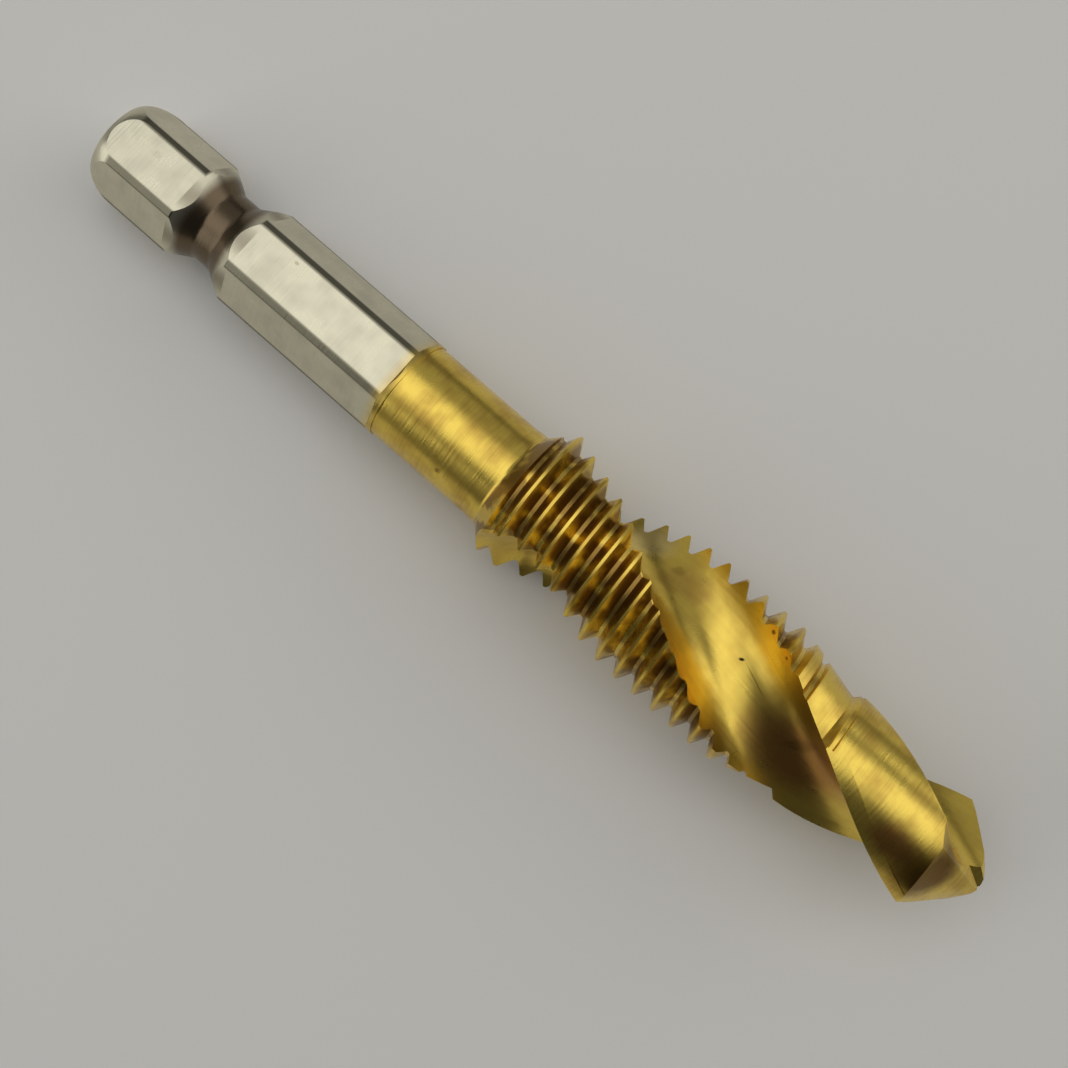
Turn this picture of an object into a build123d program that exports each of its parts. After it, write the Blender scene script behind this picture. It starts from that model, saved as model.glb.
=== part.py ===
from build123d import *
from math import atan2, cos, degrees, radians, sin, sqrt, tan
import os

# Combined drill and tap for M10 x 1.5, ground from one bar of high-speed steel.
# The tool is made along +X, with its rear end at the origin and its tip towards +X.
# +Z is the outward normal of one hexagon flat. Roll angles are measured about the
# axis from +Z towards -Y, so a right-hand helix gains roll as x grows. The last step
# lays it down as it rests on a level surface, with the origin where it was.

os.makedirs("parts", exist_ok=True)

# Hexagonal shank
hex_across_flats = 6.35
hex_corner_d = 7.13
hex_length = 25.1
hex_runout_r = 0.45
end_face_d = 5.9
end_dome_r = 3.24

# Detent groove of the shank
groove_centre_x = 9.33
groove_floor_d = 5.12
groove_floor_length = 1.45
groove_flank_angle = 30
groove_fillet_r = 0.5

# Neck
neck_d = 6.95
collar_d = 7.04
collar_x = 33.2
flare_x = 33.9
flare_angle = 45
flare_fillet_r = 0.4

# Tap
thread_d = 10.0
thread_pitch = 1.5
thread_root_d = 8.16
thread_root_flat = 0.25
thread_angle = 60
thread_crest_x = 35.86
thread_turns = 17
lead_start_x = 53.8
lead_end_x = 58.4
lead_end_d = 7.44

# Drill
drill_d = 8.5
shoulder_length = 0.5
clearance_d = 8.42
margin_width = 0.95
tip_x = 71.4

# Conical flanks of the drill point, each on an axis that is offset and tilted
point_half_angle = 46
flank_offset = 0.8
flank_offset_roll = 200
flank_tilt = 3.7
flank_tilt_roll = 70

# Helical flutes
flute_lead = 48.5
flute_r = 4.12
flute_core_d = 2.28
flute_station_x = 45.25
flute_station_roll = 130.8
flute_runout_x = 40.3
flute_runout_r = 5.0
flute_runout_turn = 3.5
flute_end_x = 32.6
flute_step = 2.0

# Land between two flutes, at the drill
land_lead_roll = 78.8
land_angle = 80

# Web thinning: a two-faced gash behind each flank, set back from the tip centre
gash_set_back = 0.1
gash_floor_lean = 49
gash_floor_roll = -40
gash_wall_lean = 55
gash_wall_roll = 11

hex_flats = 6
flute_count = 2
overcut = 3.0


def polar_point(radius, roll):
    """Point of the Plane.YZ sketch at this radius and roll angle."""
    return (-radius * sin(radians(roll)), radius * cos(radians(roll)))


def helix_roll(station_roll, x):
    """Roll angle at x of a feature that follows the flutes."""
    return station_roll + 360 * (x - flute_station_x) / flute_lead


def facing(lean, roll):
    """Unit vector that leans from the tool axis towards this roll angle."""
    return (cos(radians(lean)), -sin(radians(lean)) * sin(radians(roll)), sin(radians(lean)) * cos(radians(roll)))


hex_corner_r = hex_corner_d / 2
flat_z = hex_across_flats / 2
groove_floor_half = groove_floor_length / 2
groove_depth = (hex_corner_d - groove_floor_d) / 2
groove_half = groove_floor_half + groove_depth / tan(radians(groove_flank_angle))
end_dome_rise = (hex_corner_d - end_face_d) / 2
end_dome_length = sqrt(end_dome_r**2 - (end_dome_r - end_dome_rise) ** 2)
flare_end_x = flare_x + (thread_d - collar_d) / 2 / tan(radians(flare_angle))
drill_x = lead_end_x + shoulder_length
thread_start_x = thread_crest_x - thread_pitch * 1.5
thread_depth = (thread_d - thread_root_d) / 2
thread_over = 0.08
thread_mouth = thread_root_flat + 2 * (thread_depth + thread_over) * tan(radians(thread_angle / 2))
flute_sections = int((tip_x + overcut - flute_end_x) / flute_step) + 1
margin_angle = degrees(2 * margin_width / drill_d)
clearance_length = tip_x - drill_x
clearance_roll = helix_roll(land_lead_roll - margin_angle - land_angle, drill_x)
flank_apex = (tip_x + flank_offset / tan(radians(point_half_angle)), *polar_point(flank_offset, flank_offset_roll))
flank_axis = facing(180 - flank_tilt, flank_tilt_roll)
flank_length = drill_d * 0.7
gash_point = (tip_x - gash_set_back, 0, 0)
gash_reach = drill_d * 2
rest_edge_x = end_dome_length - sqrt(end_dome_r**2 - (flat_z - hex_corner_r + end_dome_r) ** 2)
rest_crest_x = thread_crest_x + thread_pitch / 2
rest_tilt = degrees(atan2(thread_d / 2 - flat_z, rest_crest_x - rest_edge_x))

# The turned blank, before any flat, thread or flute is cut
with BuildPart() as blank:
    with BuildSketch(Plane.XY):
        with BuildLine():
            end_face = Line((0, 0), (0, end_face_d / 2))
            dome = RadiusArc(end_face @ 1, (end_dome_length, hex_corner_r), end_dome_r)
            detent = FilletPolyline(
                (groove_centre_x - groove_half, hex_corner_r),
                (groove_centre_x - groove_floor_half, groove_floor_d / 2),
                (groove_centre_x + groove_floor_half, groove_floor_d / 2),
                (groove_centre_x + groove_half, hex_corner_r),
                radius=groove_fillet_r,
            )
            Line(dome @ 1, detent @ 0)
            neck = Polyline(
                detent @ 1,
                (hex_length, hex_corner_r),
                (hex_length, neck_d / 2),
                (collar_x, neck_d / 2),
                (collar_x, collar_d / 2),
            )
            flare = FilletPolyline(
                neck @ 1,
                (flare_x, collar_d / 2),
                (flare_end_x, thread_d / 2),
                radius=flare_fillet_r,
            )
            Polyline(
                flare @ 1,
                (lead_start_x, thread_d / 2),
                (lead_end_x, lead_end_d / 2),
                (drill_x, drill_d / 2),
                (tip_x + overcut, drill_d / 2),
                (tip_x + overcut, 0),
                end_face @ 0,
            )
        make_face()
    revolve(axis=Axis.X)

# What one flat of the hexagon takes off, running out on a small radius at the neck
with BuildPart() as flat_cut:
    with BuildSketch(Plane.XZ):
        with BuildLine():
            flat = Line((-overcut, flat_z), (hex_length - hex_runout_r, flat_z))
            runout = RadiusArc(flat @ 1, (hex_length, flat_z + hex_runout_r), hex_runout_r)
            Polyline(runout @ 1, (hex_length, hex_corner_d), (-overcut, hex_corner_d), flat @ 0)
        make_face()
    extrude(amount=hex_across_flats / 2, both=True)

# One turn of the thread groove: a trapezoid swept along a right-hand helix
with BuildPart() as thread_groove:
    with BuildLine() as thread_path:
        Helix(thread_pitch, thread_pitch, thread_d / 2, center=(thread_start_x, 0, 0), direction=(1, 0, 0))
    with BuildSketch(Plane(origin=thread_path.line @ 0, x_dir=(1, 0, 0), z_dir=(0, -1, 0))):
        with BuildLine():
            Polyline(
                (-thread_root_flat / 2, -thread_depth),
                (thread_root_flat / 2, -thread_depth),
                (thread_mouth / 2, thread_over),
                (-thread_mouth / 2, thread_over),
                close=True,
            )
        make_face()
    sweep(path=thread_path.line, is_frenet=True)

# One helical flute: a round groove whose floor rises and swings out at the neck
with BuildPart() as flute:
    for station in range(flute_sections):
        section_x = flute_end_x + station * flute_step
        runout = max(0, flute_runout_x - section_x)
        rise = runout**2 / (2 * flute_runout_r)
        roll = helix_roll(flute_station_roll, section_x) + flute_runout_turn * runout
        with BuildSketch(Plane.YZ.offset(section_x)):
            with Locations(polar_point(flute_core_d / 2 + rise + flute_r, roll)):
                Circle(flute_r)
    loft()

# Body clearance behind the margin of one drill land
with BuildPart() as clearance:
    with BuildLine() as clearance_path:
        Helix(flute_lead, clearance_length, drill_d / 2, center=(drill_x, 0, 0), direction=(1, 0, 0))
    with BuildSketch(Plane.YZ.offset(drill_x)):
        Circle(drill_d)
        Circle(clearance_d / 2, mode=Mode.SUBTRACT)
        with BuildLine():
            Polyline(
                (0, 0),
                polar_point(drill_d * 2, clearance_roll),
                polar_point(drill_d * 2, clearance_roll + land_angle / 2),
                polar_point(drill_d * 2, clearance_roll + land_angle),
                close=True,
            )
        make_face(mode=Mode.INTERSECT)
    sweep(path=clearance_path.line, is_frenet=True)

# What one conical flank of the drill point takes off
flank_plane = Plane(origin=flank_apex, x_dir=flank_axis, z_dir=Vector(*flank_axis).cross(Vector(0, 0, 1)))
with BuildPart() as flank_cut:
    with BuildSketch(flank_plane):
        with BuildLine():
            Polyline(
                (0, 0),
                (-overcut, 0),
                (-overcut, drill_d),
                (flank_length, drill_d),
                (flank_length, flank_length * tan(radians(point_half_angle))),
                close=True,
            )
        make_face()
    revolve(axis=Axis(flank_apex, flank_axis))

# Gash that thins the web behind one flank
with BuildPart() as gash:
    with BuildSketch(Plane(origin=gash_point, z_dir=facing(gash_floor_lean, gash_floor_roll))):
        Rectangle(gash_reach, gash_reach)
    extrude(amount=gash_reach)
    with BuildSketch(Plane(origin=gash_point, z_dir=facing(gash_wall_lean, gash_wall_roll))):
        Rectangle(gash_reach, gash_reach)
    extrude(amount=gash_reach, mode=Mode.INTERSECT)

# The whole tool, still along +X
with BuildPart() as tool:
    add(blank.part)
    for flat_number in range(hex_flats):
        add(flat_cut.part, rotation=(360 * flat_number / hex_flats, 0, 0), mode=Mode.SUBTRACT)
    for turn in range(thread_turns):
        with Locations((turn * thread_pitch, 0, 0)):
            add(thread_groove.part, mode=Mode.SUBTRACT)
    for cutter in (flute.part, clearance.part, flank_cut.part, gash.part):
        for flute_number in range(flute_count):
            add(cutter, rotation=(360 * flute_number / flute_count, 0, 0), mode=Mode.SUBTRACT)

# Laid down on the crest of its first full thread and on the rear edge of one flat
with BuildPart() as drill_tap:
    add(tool.part, rotation=(0, -rest_tilt, 0))

drill_tap.part.label = "drill_tap"
export_step(drill_tap.part, "parts/drill_tap.step")
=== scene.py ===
import bpy
from math import cos, pi, radians, sin, tan
from mathutils import Matrix, Vector


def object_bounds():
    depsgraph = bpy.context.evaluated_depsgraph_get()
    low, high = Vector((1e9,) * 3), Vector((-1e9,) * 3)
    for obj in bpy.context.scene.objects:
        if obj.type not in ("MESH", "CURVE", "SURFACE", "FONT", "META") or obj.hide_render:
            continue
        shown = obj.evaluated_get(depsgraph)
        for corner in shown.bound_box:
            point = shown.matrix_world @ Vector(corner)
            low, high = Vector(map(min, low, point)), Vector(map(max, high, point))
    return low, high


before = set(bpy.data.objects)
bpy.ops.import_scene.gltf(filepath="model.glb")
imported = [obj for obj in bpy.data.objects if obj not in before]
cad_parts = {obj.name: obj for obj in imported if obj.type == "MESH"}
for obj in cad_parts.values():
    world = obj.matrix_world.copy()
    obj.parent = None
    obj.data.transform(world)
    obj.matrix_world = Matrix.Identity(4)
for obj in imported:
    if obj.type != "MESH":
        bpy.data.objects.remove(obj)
cad_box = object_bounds()

MM = 0.001

# The tool lies at rest with its tip raised by this angle, and its rear end is the origin.
# Sizes below are in millimetres along and across the tool. A roll angle is measured about
# its axis from the top flat towards -Y.
REST_TILT = 2.882
SHANK_END_X = 25.1
CORNER_R = 3.565
GROOVE_X = 9.33
NECK_END_X = 33.9
LEAD_START_X = 53.8
THREAD_R = 5.0
FLUTE_LEAD = 48.5
FLUTE_R = 4.12
FLUTE_CORE_R = 1.14
FLUTE_STATION_X = 45.25
FLUTE_STATION_ROLL = 130.8
FLUTE_RUNOUT_X = 40.3
FLUTE_RUNOUT_R = 5.0
FLUTE_RUNOUT_TURN = 3.5

# Where the finishes begin and end. The flute's edge is measured outwards from its ground
# surface, the corner's edge and the thread's flank inwards from the outer radius, and the fade
# of the coat back and on from the end of the hexagon.
FLUTE_EDGE_IN = 0.04
FLUTE_EDGE_OUT = 0.09
CORNER_EDGE_IN = 0.09
CORNER_EDGE_OUT = 0.02
GROOVE_HALF = 2.6
GROOVE_FLANK_R = 2.95
GROOVE_RIM_R = 3.45
COAT_FADE_BACK = 1.3
COAT_FADE_ON = 0.2
FLANK_DEEP = 0.35
FLANK_SHALLOW = 0.03

# Noise is drawn out into grinding lines, round the tool and along its flutes, by its scale on
# each axis. The dullness takes this share of the lines, and half of it is left in the flutes.
ROUND_LINES = (8.0, 0.35, 0.35)
FLUTE_LINES = (0.15, 3.5, 3.5)
LINE_HEIGHT = 0.01
LINE_SHARE = 0.4
FLUTE_DULL_SHARE = 0.5
CLOUD_SCALE = 0.6
SMOOTH_ROUGHNESS = 0.26
DULL_ROUGHNESS = 0.32

# A mark keeps its full strength over the first share of its size. One that is thinner than the
# small size keeps an even edge, and the edges of the others are shifted to be ragged.
MARK_CORE = 0.35
SMALL_MARK = 0.25
RAGGED_SHIFT = 0.25
RAGGED_SCALE = 2.2


# ---------------------------------------------------------------- helpers

def linear(hex_colour):
    """Linear RGBA of an sRGB colour such as "c8b24a"."""
    channels = []
    for start in (0, 2, 4):
        value = int(hex_colour[start:start + 2], 16) / 255
        channels.append(value / 12.92 if value <= 0.04045 else ((value + 0.055) / 1.055) ** 2.4)
    return (*channels, 1.0)


def add_node(tree, kind, settings=None, inputs=None):
    """Adds a node, sets its properties, and fills or links its inputs by name or by number."""
    node = tree.nodes.new(kind)
    for name, value in (settings or {}).items():
        setattr(node, name, value)
    for name, value in (inputs or {}).items():
        if isinstance(value, bpy.types.NodeSocket):
            tree.links.new(value, node.inputs[name])
        else:
            node.inputs[name].default_value = value
    return node


def new_material(name):
    """An empty node material and its node tree."""
    material = bpy.data.materials.new(name)
    material.use_nodes = True
    material.node_tree.nodes.clear()
    return material, material.node_tree


# ---------------------------------------------------------------- where a point lies on the tool

def tool_place(tree):
    """The point in millimetres in the tool's own frame, with X along its axis."""
    coordinates = add_node(tree, "ShaderNodeTexCoord")
    return add_node(tree, "ShaderNodeMapping", inputs={
        "Vector": coordinates.outputs["Object"],
        "Rotation": (0, radians(REST_TILT), 0),
        "Scale": (1 / MM, 1 / MM, 1 / MM),
    }).outputs[0]


def flute_place(tree, place, along):
    """The point with the flutes' twist taken out, so that both run straight along X, and how
    far it lies inside their run-out at the neck."""
    before_runout = add_node(tree, "ShaderNodeMath", {"operation": "SUBTRACT"}, {
        0: FLUTE_RUNOUT_X,
        1: along,
    })
    runout = add_node(tree, "ShaderNodeMath", {"operation": "MAXIMUM"}, {
        0: before_runout.outputs[0],
        1: 0.0,
    }).outputs[0]
    twist = add_node(tree, "ShaderNodeMath", {"operation": "MULTIPLY_ADD"}, {
        0: along,
        1: -2 * pi / FLUTE_LEAD,
        2: 2 * pi * FLUTE_STATION_X / FLUTE_LEAD - radians(FLUTE_STATION_ROLL),
    })
    twist = add_node(tree, "ShaderNodeMath", {"operation": "MULTIPLY_ADD"}, {
        0: runout,
        1: -radians(FLUTE_RUNOUT_TURN),
        2: twist.outputs[0],
    })
    straight = add_node(tree, "ShaderNodeVectorRotate", {"rotation_type": "X_AXIS"}, {
        "Vector": place,
        "Angle": twist.outputs[0],
    }).outputs[0]
    return straight, runout


def flute_mask(tree, straight, runout):
    """1 on the ground surface of either flute, 0 elsewhere."""
    squared = add_node(tree, "ShaderNodeMath", {"operation": "MULTIPLY"}, {0: runout, 1: runout})
    centre_r = add_node(tree, "ShaderNodeMath", {"operation": "MULTIPLY_ADD"}, {
        0: squared.outputs[0],
        1: 1 / (2 * FLUTE_RUNOUT_R),
        2: FLUTE_CORE_R + FLUTE_R,
    })
    parts = add_node(tree, "ShaderNodeSeparateXYZ", inputs={0: straight})
    height = add_node(tree, "ShaderNodeMath", {"operation": "ABSOLUTE"}, {0: parts.outputs["Z"]})
    above_centre = add_node(tree, "ShaderNodeMath", {"operation": "SUBTRACT"}, {
        0: height.outputs[0],
        1: centre_r.outputs[0],
    })
    offset = add_node(tree, "ShaderNodeCombineXYZ", inputs={
        "Y": parts.outputs["Y"],
        "Z": above_centre.outputs[0],
    })
    distance = add_node(tree, "ShaderNodeVectorMath", {"operation": "LENGTH"}, {0: offset.outputs[0]})
    return add_node(tree, "ShaderNodeMapRange", inputs={
        "Value": distance.outputs["Value"],
        "From Min": FLUTE_R + FLUTE_EDGE_IN,
        "From Max": FLUTE_R + FLUTE_EDGE_OUT,
        "To Min": 1.0,
        "To Max": 0.0,
    }).outputs[0]


def mark(tree, place, centre, half_sizes, turn):
    """1 at the middle of a soft-edged ellipsoid round a point of the tool, and 0 outside it."""
    inside = add_node(tree, "ShaderNodeMapping", {"vector_type": "TEXTURE"}, {
        "Vector": place,
        "Location": centre,
        "Rotation": tuple(radians(angle) for angle in turn),
        "Scale": half_sizes,
    })
    distance = add_node(tree, "ShaderNodeVectorMath", {"operation": "LENGTH"}, {0: inside.outputs[0]})
    return add_node(tree, "ShaderNodeMapRange", {"interpolation_type": "SMOOTHSTEP"}, {
        "Value": distance.outputs["Value"],
        "From Min": MARK_CORE,
        "From Max": 1.0,
        "To Min": 1.0,
        "To Max": 0.0,
    }).outputs[0]


# ---------------------------------------------------------------- finishes

STEEL = "d2cdb4"
STEEL_DULL = "c5bfa9"
NITRIDE = "e8c95c"
NITRIDE_OCHRE = "c4a04a"
NITRIDE_DUSTY = "e8d4a0"
# Painted shade for the thread's flanks down between the crests
NITRIDE_FLANK_SHADE = "93743a"
NITRIDE_AMBER = "e2b854"
STEEL_CORNER = "7c7866"
GROOVE_BRONZE = "6b5d4a"
STAIN_TAN = "a87040"
STAIN_BROWN = "6b4a1c"
PIT = "2a2410"
BOARD_PALE = "e6e4de"

# Marks on the tool: centre, half sizes, turn in degrees, colour and strength
MARKS = [
    # A speck and a dull patch on the top flat, and a speck on the neck
    ((15.14, 1.13, 3.18), (0.22, 0.16, 0.3), (0, 0, 0), STAIN_BROWN, 0.35),
    ((3.64, 0.52, 3.18), (0.5, 0.3, 0.3), (0, 0, 30), STEEL_DULL, 0.8),
    ((30.3, -2.74, 2.14), (0.32, 0.3, 0.3), (0, 0, 0), STAIN_BROWN, 0.7),
    # Ochre haze in the flute, with a pit and a scratch
    ((46.6, 2.3, -0.2), (3.0, 1.3, 1.6), (0, 0, 20), STAIN_TAN, 0.35),
    ((51.86, 0.89, 1.24), (0.26, 0.14, 0.3), (0, 0, 25), PIT, 1.0),
    ((53.3, 0.45, 1.25), (1.6, 0.06, 0.4), (0, 0, -22), STAIN_BROWN, 0.55),
    # Smudges and dust where the flute starts
    ((43.9, 2.35, -0.7), (0.8, 0.4, 0.8), (0, 0, 10), STAIN_BROWN, 0.15),
    ((45.4, 2.65, -0.4), (0.6, 0.4, 0.6), (0, 0, 30), STAIN_BROWN, 0.3),
    ((42.6, 3.0, -1.6), (2.6, 1.6, 1.8), (0, 0, 20), NITRIDE_DUSTY, 0.45),
    # Two stained teeth beside the flute, each with a dark spot
    ((52.15, 3.2, 2.95), (0.8, 0.6, 0.9), (0, 0, 0), NITRIDE_AMBER, 0.45),
    ((52.2, 3.2, 2.97), (0.22, 0.2, 0.3), (0, 0, 0), PIT, 0.8),
    ((53.6, 2.5, 3.3), (0.7, 0.6, 0.8), (0, 0, 0), NITRIDE_AMBER, 0.4),
    ((53.78, 2.47, 3.4), (0.16, 0.14, 0.2), (0, 0, 0), STAIN_BROWN, 0.9),
    # Stained heel of the flute
    ((49.6, -1.6, 2.3), (1.6, 0.5, 0.7), (0, 0, 30), NITRIDE_AMBER, 0.35),
    ((53.6, -3.3, 1.5), (1.6, 0.6, 0.8), (0, 0, 0), NITRIDE_AMBER, 0.5),
    # Browned floor of the flute
    ((58.4, -1.3, 0.6), (5.6, 3.2, 3.2), (0, 0, 0), STAIN_TAN, 0.8),
    ((57.8, -0.8, 1.2), (1.5, 0.5, 1.5), (0, 0, 35), STAIN_BROWN, 0.45),
    # Browned land and point
    ((65.4, -1.7, 3.8), (2.4, 1.4, 1.0), (0, 0, 0), STAIN_TAN, 0.8),
    ((68.3, -1.6, 3.2), (2.8, 3.4, 2.0), (0, 0, 0), STAIN_BROWN, 0.9),
]


def grinding_lines(tree, place, straight, in_flute):
    """Grinding lines, round the tool and along it in the flutes. They are coarser than real
    ones so that they show."""
    round_lines = add_node(tree, "ShaderNodeMapping", inputs={
        "Vector": place,
        "Scale": ROUND_LINES,
    })
    round_noise = add_node(tree, "ShaderNodeTexNoise", inputs={
        "Vector": round_lines.outputs[0],
        "Scale": 1.0,
        "Detail": 3.0,
    })
    flute_lines = add_node(tree, "ShaderNodeMapping", inputs={
        "Vector": straight,
        "Scale": FLUTE_LINES,
    })
    flute_noise = add_node(tree, "ShaderNodeTexNoise", inputs={
        "Vector": flute_lines.outputs[0],
        "Scale": 1.0,
        "Detail": 3.0,
    })
    return add_node(tree, "ShaderNodeMix", inputs={
        0: in_flute,
        2: round_noise.outputs[0],
        3: flute_noise.outputs[0],
    }).outputs[0]


def steel_colour(tree, along, radius, dull):
    """Warm silver grey that is duller along the grinding lines, dark on the rounded corners
    and bronze in the detent groove."""
    colour = add_node(tree, "ShaderNodeMix", {"data_type": "RGBA"}, {
        0: dull,
        6: linear(STEEL),
        7: linear(STEEL_DULL),
    }).outputs[2]

    # The corners that the flats leave of the round bar
    on_corner = add_node(tree, "ShaderNodeMapRange", {"interpolation_type": "SMOOTHSTEP"}, {
        "Value": radius,
        "From Min": CORNER_R - CORNER_EDGE_IN,
        "From Max": CORNER_R - CORNER_EDGE_OUT,
    })
    colour = add_node(tree, "ShaderNodeMix", {"data_type": "RGBA"}, {
        0: on_corner.outputs[0],
        6: colour,
        7: linear(STEEL_CORNER),
    }).outputs[2]

    # The detent groove, which lies deeper than the flats
    beside_groove = add_node(tree, "ShaderNodeMath", {"operation": "COMPARE"}, {
        0: along,
        1: GROOVE_X,
        2: GROOVE_HALF,
    })
    below_flats = add_node(tree, "ShaderNodeMapRange", {"interpolation_type": "SMOOTHSTEP"}, {
        "Value": radius,
        "From Min": GROOVE_FLANK_R,
        "From Max": GROOVE_RIM_R,
        "To Min": 1.0,
        "To Max": 0.0,
    })
    in_groove = add_node(tree, "ShaderNodeMath", {"operation": "MULTIPLY"}, {
        0: beside_groove.outputs[0],
        1: below_flats.outputs[0],
    })
    return add_node(tree, "ShaderNodeMix", {"data_type": "RGBA"}, {
        0: in_groove.outputs[0],
        6: colour,
        7: linear(GROOVE_BRONZE),
    }).outputs[2]


def nitride_colour(tree, along, radius, clouds, dull, in_flute):
    """Lemon gold that is duller along the grinding lines, less so in the flutes, and with painted
    shade that browns the thread's flanks down between its crests, deepest in patches."""
    dull_in_flute = add_node(tree, "ShaderNodeMath", {"operation": "MULTIPLY"}, {
        0: dull,
        1: FLUTE_DULL_SHARE,
    })
    dull_coat = add_node(tree, "ShaderNodeMix", inputs={
        0: in_flute,
        2: dull,
        3: dull_in_flute.outputs[0],
    })
    colour = add_node(tree, "ShaderNodeMix", {"data_type": "RGBA"}, {
        0: dull_coat.outputs[0],
        6: linear(NITRIDE),
        7: linear(NITRIDE_OCHRE),
    }).outputs[2]

    # The thread's flanks lie below its crests, between the neck and the lead, out of the flutes
    depth = add_node(tree, "ShaderNodeMapRange", inputs={
        "Value": radius,
        "From Min": THREAD_R - FLANK_DEEP,
        "From Max": THREAD_R - FLANK_SHALLOW,
        "To Min": 1.0,
        "To Max": 0.0,
    })
    beside_thread = add_node(tree, "ShaderNodeMath", {"operation": "COMPARE"}, {
        0: along,
        1: (NECK_END_X + LEAD_START_X) / 2,
        2: (LEAD_START_X - NECK_END_X) / 2,
    })
    in_thread = add_node(tree, "ShaderNodeMath", {"operation": "MULTIPLY"}, {
        0: depth.outputs[0],
        1: beside_thread.outputs[0],
    })
    not_flute = add_node(tree, "ShaderNodeMath", {"operation": "SUBTRACT"}, {0: 1.0, 1: in_flute})
    on_flank = add_node(tree, "ShaderNodeMath", {"operation": "MULTIPLY"}, {
        0: in_thread.outputs[0],
        1: not_flute.outputs[0],
    })
    # Painted shade: the flanks are browned down between the crests, fully in patches and a fifth as
    # much between them
    shade_patches = add_node(tree, "ShaderNodeMapRange", inputs={
        "Value": clouds,
        "From Min": 0.4,
        "From Max": 0.52,
        "To Min": 0.2,
    })
    flank_shade = add_node(tree, "ShaderNodeMath", {"operation": "MULTIPLY"}, {
        0: on_flank.outputs[0],
        1: shade_patches.outputs[0],
    })
    return add_node(tree, "ShaderNodeMix", {"data_type": "RGBA"}, {
        0: flank_shade.outputs[0],
        6: colour,
        7: linear(NITRIDE_FLANK_SHADE),
    }).outputs[2]


def marked_colour(tree, place, colour):
    """The colour with the marks laid over it, one after another."""
    ragged = add_node(tree, "ShaderNodeTexNoise", inputs={
        "Vector": place,
        "Scale": RAGGED_SCALE,
        "Detail": 3.0,
    })
    shift = add_node(tree, "ShaderNodeVectorMath", {"operation": "MULTIPLY_ADD"}, {
        0: ragged.outputs["Color"],
        1: (2 * RAGGED_SHIFT, 2 * RAGGED_SHIFT, 2 * RAGGED_SHIFT),
        2: (-RAGGED_SHIFT, -RAGGED_SHIFT, -RAGGED_SHIFT),
    })
    ragged_place = add_node(tree, "ShaderNodeVectorMath", {"operation": "ADD"}, {
        0: place,
        1: shift.outputs[0],
    }).outputs[0]
    for centre, half_sizes, turn, mark_colour, strength in MARKS:
        small = min(half_sizes) < SMALL_MARK
        spread = mark(tree, place if small else ragged_place, centre, half_sizes, turn)
        share = add_node(tree, "ShaderNodeMath", {"operation": "MULTIPLY"}, {0: spread, 1: strength})
        colour = add_node(tree, "ShaderNodeMix", {"data_type": "RGBA"}, {
            0: share.outputs[0],
            6: colour,
            7: linear(mark_colour),
        }).outputs[2]
    return colour


def tool_finish():
    """Ground high-speed steel. The hexagon is bare and a warm silver grey, with streaks across
    its flats. From the neck on, titanium nitride gives it a lemon gold that turns amber and
    brown where the surfaces face each other or are stained; painted shade browns the thread's flanks."""
    material, tree = new_material("ground_steel_titanium_nitride")
    place = tool_place(tree)
    parts = add_node(tree, "ShaderNodeSeparateXYZ", inputs={0: place})
    along = parts.outputs["X"]
    across = add_node(tree, "ShaderNodeCombineXYZ", inputs={
        "Y": parts.outputs["Y"],
        "Z": parts.outputs["Z"],
    })
    radius = add_node(tree, "ShaderNodeVectorMath", {"operation": "LENGTH"}, {
        0: across.outputs[0],
    }).outputs["Value"]
    straight, runout = flute_place(tree, place, along)
    in_flute = flute_mask(tree, straight, runout)

    # The grinding lines and clouds some millimetres wide say together where it is dull
    lines = grinding_lines(tree, place, straight, in_flute)
    clouds = add_node(tree, "ShaderNodeTexNoise", inputs={
        "Vector": place,
        "Scale": CLOUD_SCALE,
        "Detail": 2.0,
    }).outputs[0]
    lines_and_clouds = add_node(tree, "ShaderNodeMath", {"operation": "MULTIPLY_ADD"}, {
        0: lines,
        1: LINE_SHARE,
        2: clouds,
    })
    dull = add_node(tree, "ShaderNodeMapRange", inputs={
        "Value": lines_and_clouds.outputs[0],
        "From Min": 0.6,
        "From Max": 0.95,
    }).outputs[0]

    # The coat begins at the end of the hexagon, where its overspray fades over about 1 mm
    coated = add_node(tree, "ShaderNodeMapRange", {"interpolation_type": "SMOOTHSTEP"}, {
        "Value": along,
        "From Min": SHANK_END_X - COAT_FADE_BACK,
        "From Max": SHANK_END_X + COAT_FADE_ON,
    })
    colour = add_node(tree, "ShaderNodeMix", {"data_type": "RGBA"}, {
        0: coated.outputs[0],
        6: steel_colour(tree, along, radius, dull),
        7: nitride_colour(tree, along, radius, clouds, dull, in_flute),
    })

    bump = add_node(tree, "ShaderNodeBump", inputs={
        "Height": lines,
        "Strength": 1.0,
        "Distance": LINE_HEIGHT * MM,
    })
    roughness = add_node(tree, "ShaderNodeMapRange", inputs={
        "Value": clouds,
        "From Min": 0.3,
        "From Max": 0.7,
        "To Min": SMOOTH_ROUGHNESS,
        "To Max": DULL_ROUGHNESS,
    })
    shader = add_node(tree, "ShaderNodeBsdfPrincipled", inputs={
        "Base Color": marked_colour(tree, place, colour.outputs[2]),
        "Metallic": 1.0,
        "Roughness": roughness.outputs[0],
        "Normal": bump.outputs[0],
    })
    add_node(tree, "ShaderNodeOutputMaterial", inputs={"Surface": shader.outputs[0]})
    return material


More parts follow.
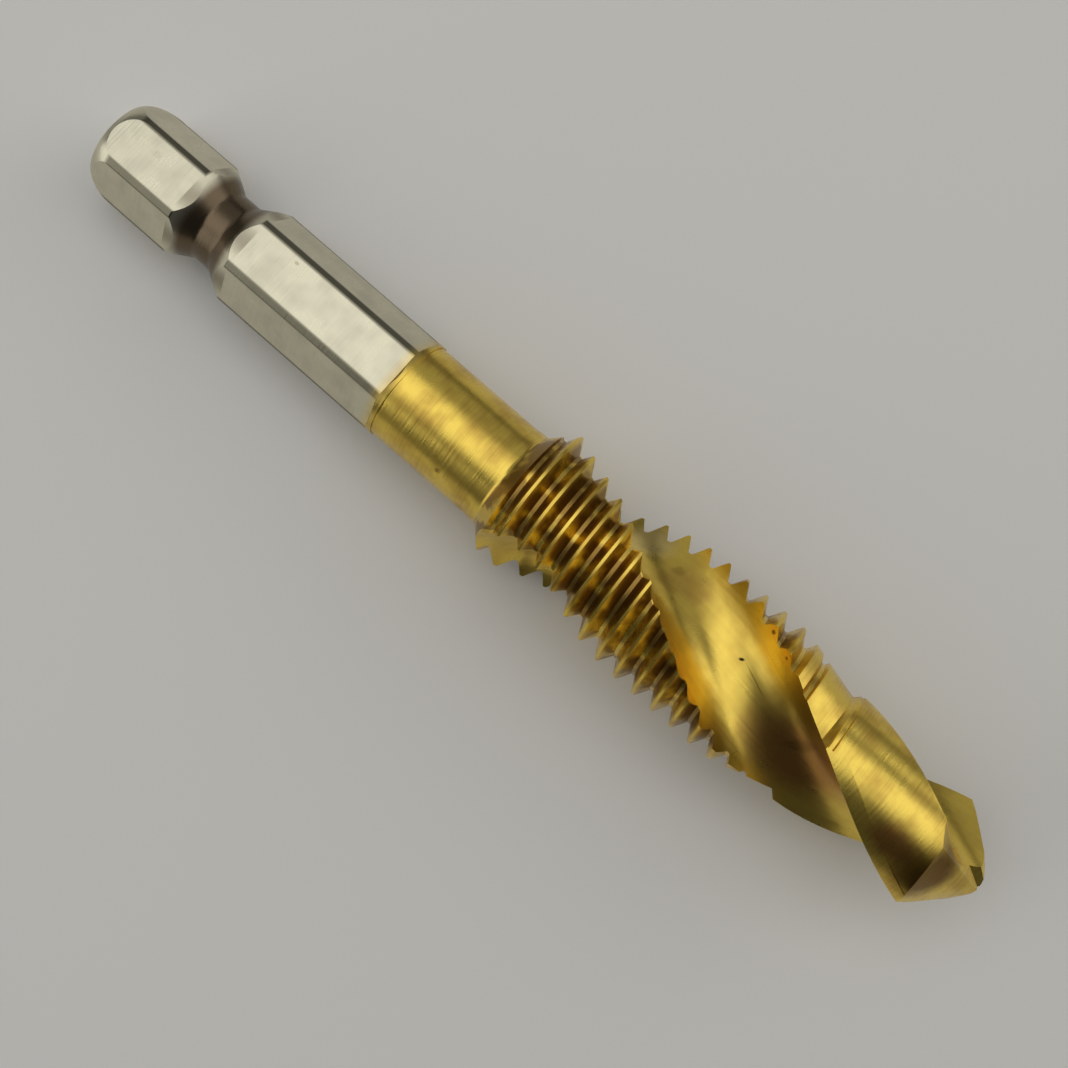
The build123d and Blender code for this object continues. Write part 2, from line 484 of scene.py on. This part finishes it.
def floor_finish():
    """Plain pale matt board, with next to no shine."""
    material, tree = new_material("pale_matt_board")
    shader = add_node(tree, "ShaderNodeBsdfPrincipled", inputs={
        "Base Color": linear(BOARD_PALE),
        "Roughness": 0.9,
        "Specular IOR Level": 0.1,
    })
    add_node(tree, "ShaderNodeOutputMaterial", inputs={"Surface": shader.outputs[0]})
    return material


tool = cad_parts["drill_tap"]
tool.data.materials.clear()
tool.data.materials.append(tool_finish())


# ---------------------------------------------------------------- floor, light and camera

FLOOR_SIZE = 3000
floor_z = cad_box[0][2]
bpy.ops.mesh.primitive_plane_add(size=FLOOR_SIZE * MM, location=(0, 0, floor_z))
floor = bpy.context.object
floor.name = "floor"
floor.data.materials.append(floor_finish())

# The soft boxes lie along a line over the tool, and the tool's axis crosses under it
STUDIO_HEADING = 41.6
LAMP_DISTANCE = 450
BESIDE = Vector((cos(radians(STUDIO_HEADING)), sin(radians(STUDIO_HEADING)), 0))
BEHIND = Vector((-BESIDE.y, BESIDE.x, 0))
OVER_TOOL = Vector((42 * MM, 0, 0))


def soft_box(name, side, lean, side_angle, lean_angle, radiance):
    """A flat lamp that faces the tool. It stands at an angle to the side of a plane that leans
    back from straight up, and looks as wide and as deep as two angles from the tool."""
    upright = BEHIND * sin(radians(lean)) + Vector((0, 0, 1)) * cos(radians(lean))
    toward = BESIDE * sin(radians(side)) + upright * cos(radians(side))
    along = (BESIDE - toward * BESIDE.dot(toward)).normalized()
    lamp = bpy.data.lights.new(name, "AREA")
    lamp.shape = "RECTANGLE"
    lamp.size = 2 * LAMP_DISTANCE * MM * tan(radians(side_angle / 2))
    lamp.size_y = 2 * LAMP_DISTANCE * MM * tan(radians(lean_angle / 2))
    lamp.energy = radiance * pi * lamp.size * lamp.size_y
    holder = bpy.data.objects.new(name, lamp)
    bpy.context.scene.collection.objects.link(holder)
    axes = Matrix((along, toward.cross(along), toward)).transposed().to_4x4()
    holder.matrix_world = Matrix.Translation(OVER_TOOL + toward * LAMP_DISTANCE * MM) @ axes


soft_box("soft_box_over", side=0, lean=11, side_angle=86, lean_angle=26, radiance=1.17)
soft_box("soft_box_over_rear", side=-12, lean=30, side_angle=62, lean_angle=12, radiance=0.95)
soft_box("soft_box_front", side=-2, lean=-7.5, side_angle=94, lean_angle=11, radiance=0.85)
soft_box("soft_box_right", side=64, lean=17, side_angle=38, lean_angle=46, radiance=1.15)
soft_box("soft_box_left", side=-68, lean=3, side_angle=44, lean_angle=52, radiance=1.05)
soft_box("soft_box_back", side=0, lean=57, side_angle=100, lean_angle=36, radiance=0.27)

WORLD_STRENGTH = 0.05
world = bpy.data.worlds.new("studio")
bpy.context.scene.world = world
world.use_nodes = True
world.node_tree.nodes["Background"].inputs["Color"].default_value = (1, 1, 1, 1)
world.node_tree.nodes["Background"].inputs["Strength"].default_value = WORLD_STRENGTH

# The camera looks down at the aim. Lengths are in millimetres, angles in degrees, and the
# elevation is measured up from level.
CAMERA_AIM = Vector((36.945, -1.425, 0.0))
CAMERA_DISTANCE = 109.04
CAMERA_HEADING = 131.585
CAMERA_ELEVATION = 83.647
LENS_PIXELS = 1719.5
IMAGE_PIXELS = 1068
CLIP_START = 5

heading = radians(CAMERA_HEADING)
elevation = radians(CAMERA_ELEVATION)
sight = Vector((cos(elevation) * cos(heading), cos(elevation) * sin(heading), -sin(elevation)))
camera_data = bpy.data.cameras.new("camera")
camera_data.lens = LENS_PIXELS / IMAGE_PIXELS * camera_data.sensor_width
camera_data.clip_start = CLIP_START * MM
camera = bpy.data.objects.new("camera", camera_data)
bpy.context.scene.collection.objects.link(camera)
camera.location = (CAMERA_AIM - sight * CAMERA_DISTANCE) * MM
camera.rotation_euler = sight.to_track_quat("-Z", "Y").to_euler()
bpy.context.scene.camera = camera
bpy.context.scene.view_settings.view_transform = "Standard"
